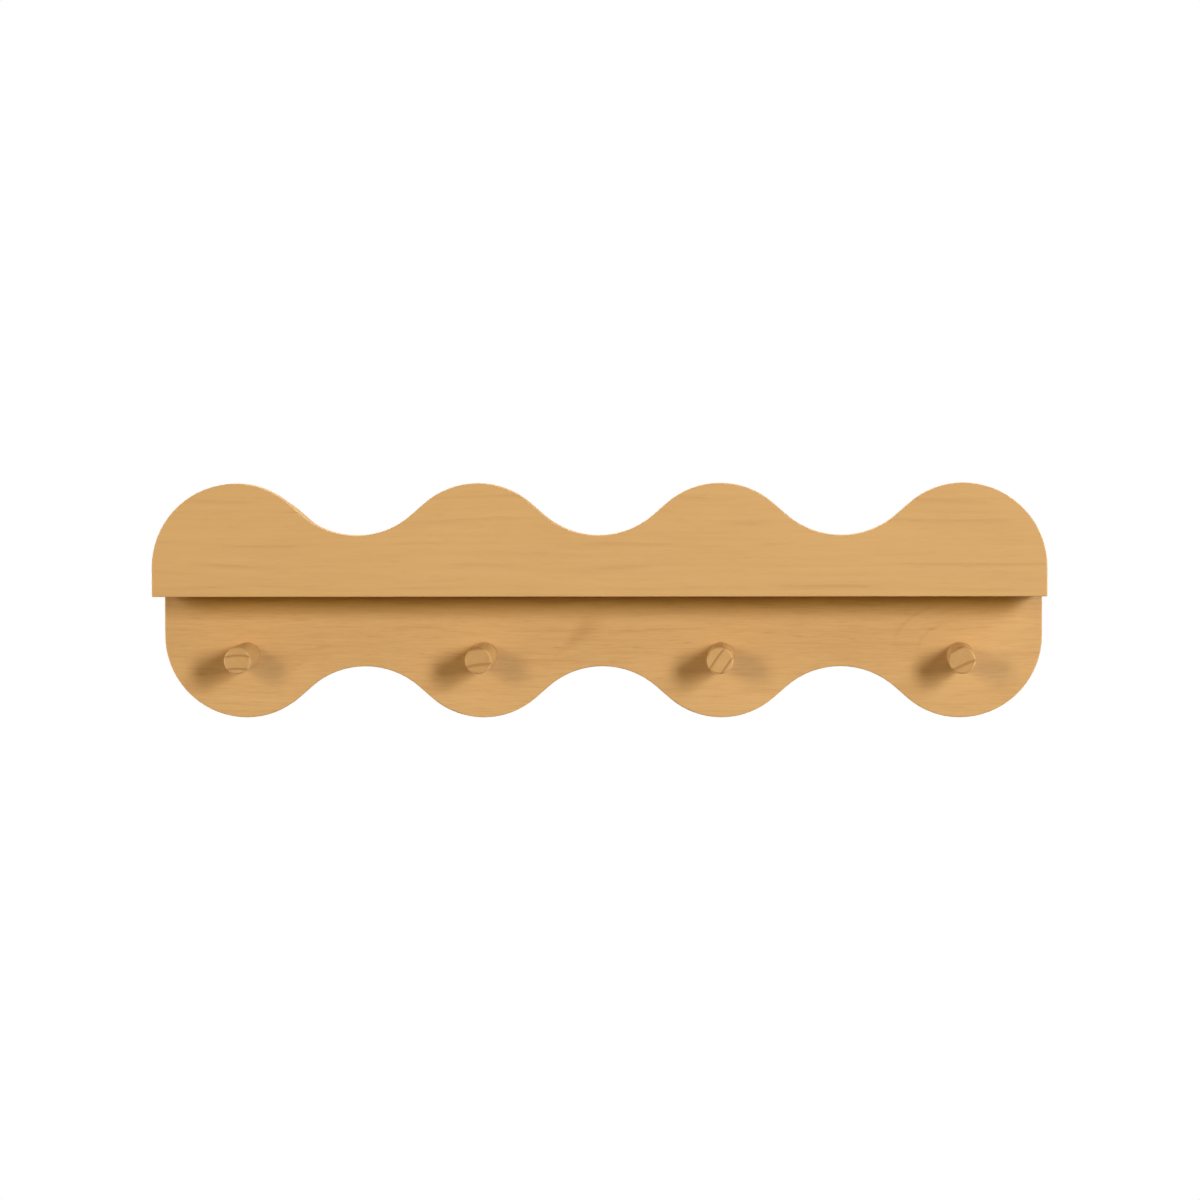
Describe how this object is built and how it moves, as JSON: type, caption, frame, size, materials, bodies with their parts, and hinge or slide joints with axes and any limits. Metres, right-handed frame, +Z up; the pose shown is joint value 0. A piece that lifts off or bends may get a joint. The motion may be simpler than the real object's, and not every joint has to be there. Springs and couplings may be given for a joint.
{
  "type": "wall book ledge with pegs",
  "caption": "Wooden wall ledge for books: scalloped back board and front lip around a narrow shelf, with straight round coat pegs below, hung on keyhole plates.",
  "frame": {"origin": "on the wall plane, midway along the ledge, level with the underside of the shelf board", "axes": "+X along the ledge to the right as seen from the room, +Y into the wall, +Z up"},
  "size_m": [0.6, 0.095, 0.162],
  "materials": {
    "honey_pine": "honey stained pine, satin lacquer",
    "peg_wood": "honey stained pine, satin lacquer",
    "dowel_wood": "bare beech",
    "zinc_steel": "zinc plated",
    "screw_steel": "yellow zinc plated"
  },
  "bodies": {
    "root": {"back_panel": "honey_pine", "shelf_board": "honey_pine", "front_panel": "honey_pine", "peg_1": "peg_wood", "peg_2": "peg_wood", "peg_3": "peg_wood", "peg_4": "peg_wood", "front_dowel_1": "dowel_wood", "front_dowel_2": "dowel_wood", "front_dowel_3": "dowel_wood", "front_dowel_4": "dowel_wood", "hanger_left": "zinc_steel", "hanger_right": "zinc_steel", "peg_screws": "screw_steel", "shelf_screws": "screw_steel", "hanger_screws": "screw_steel"}
  },
  "joints": []
}
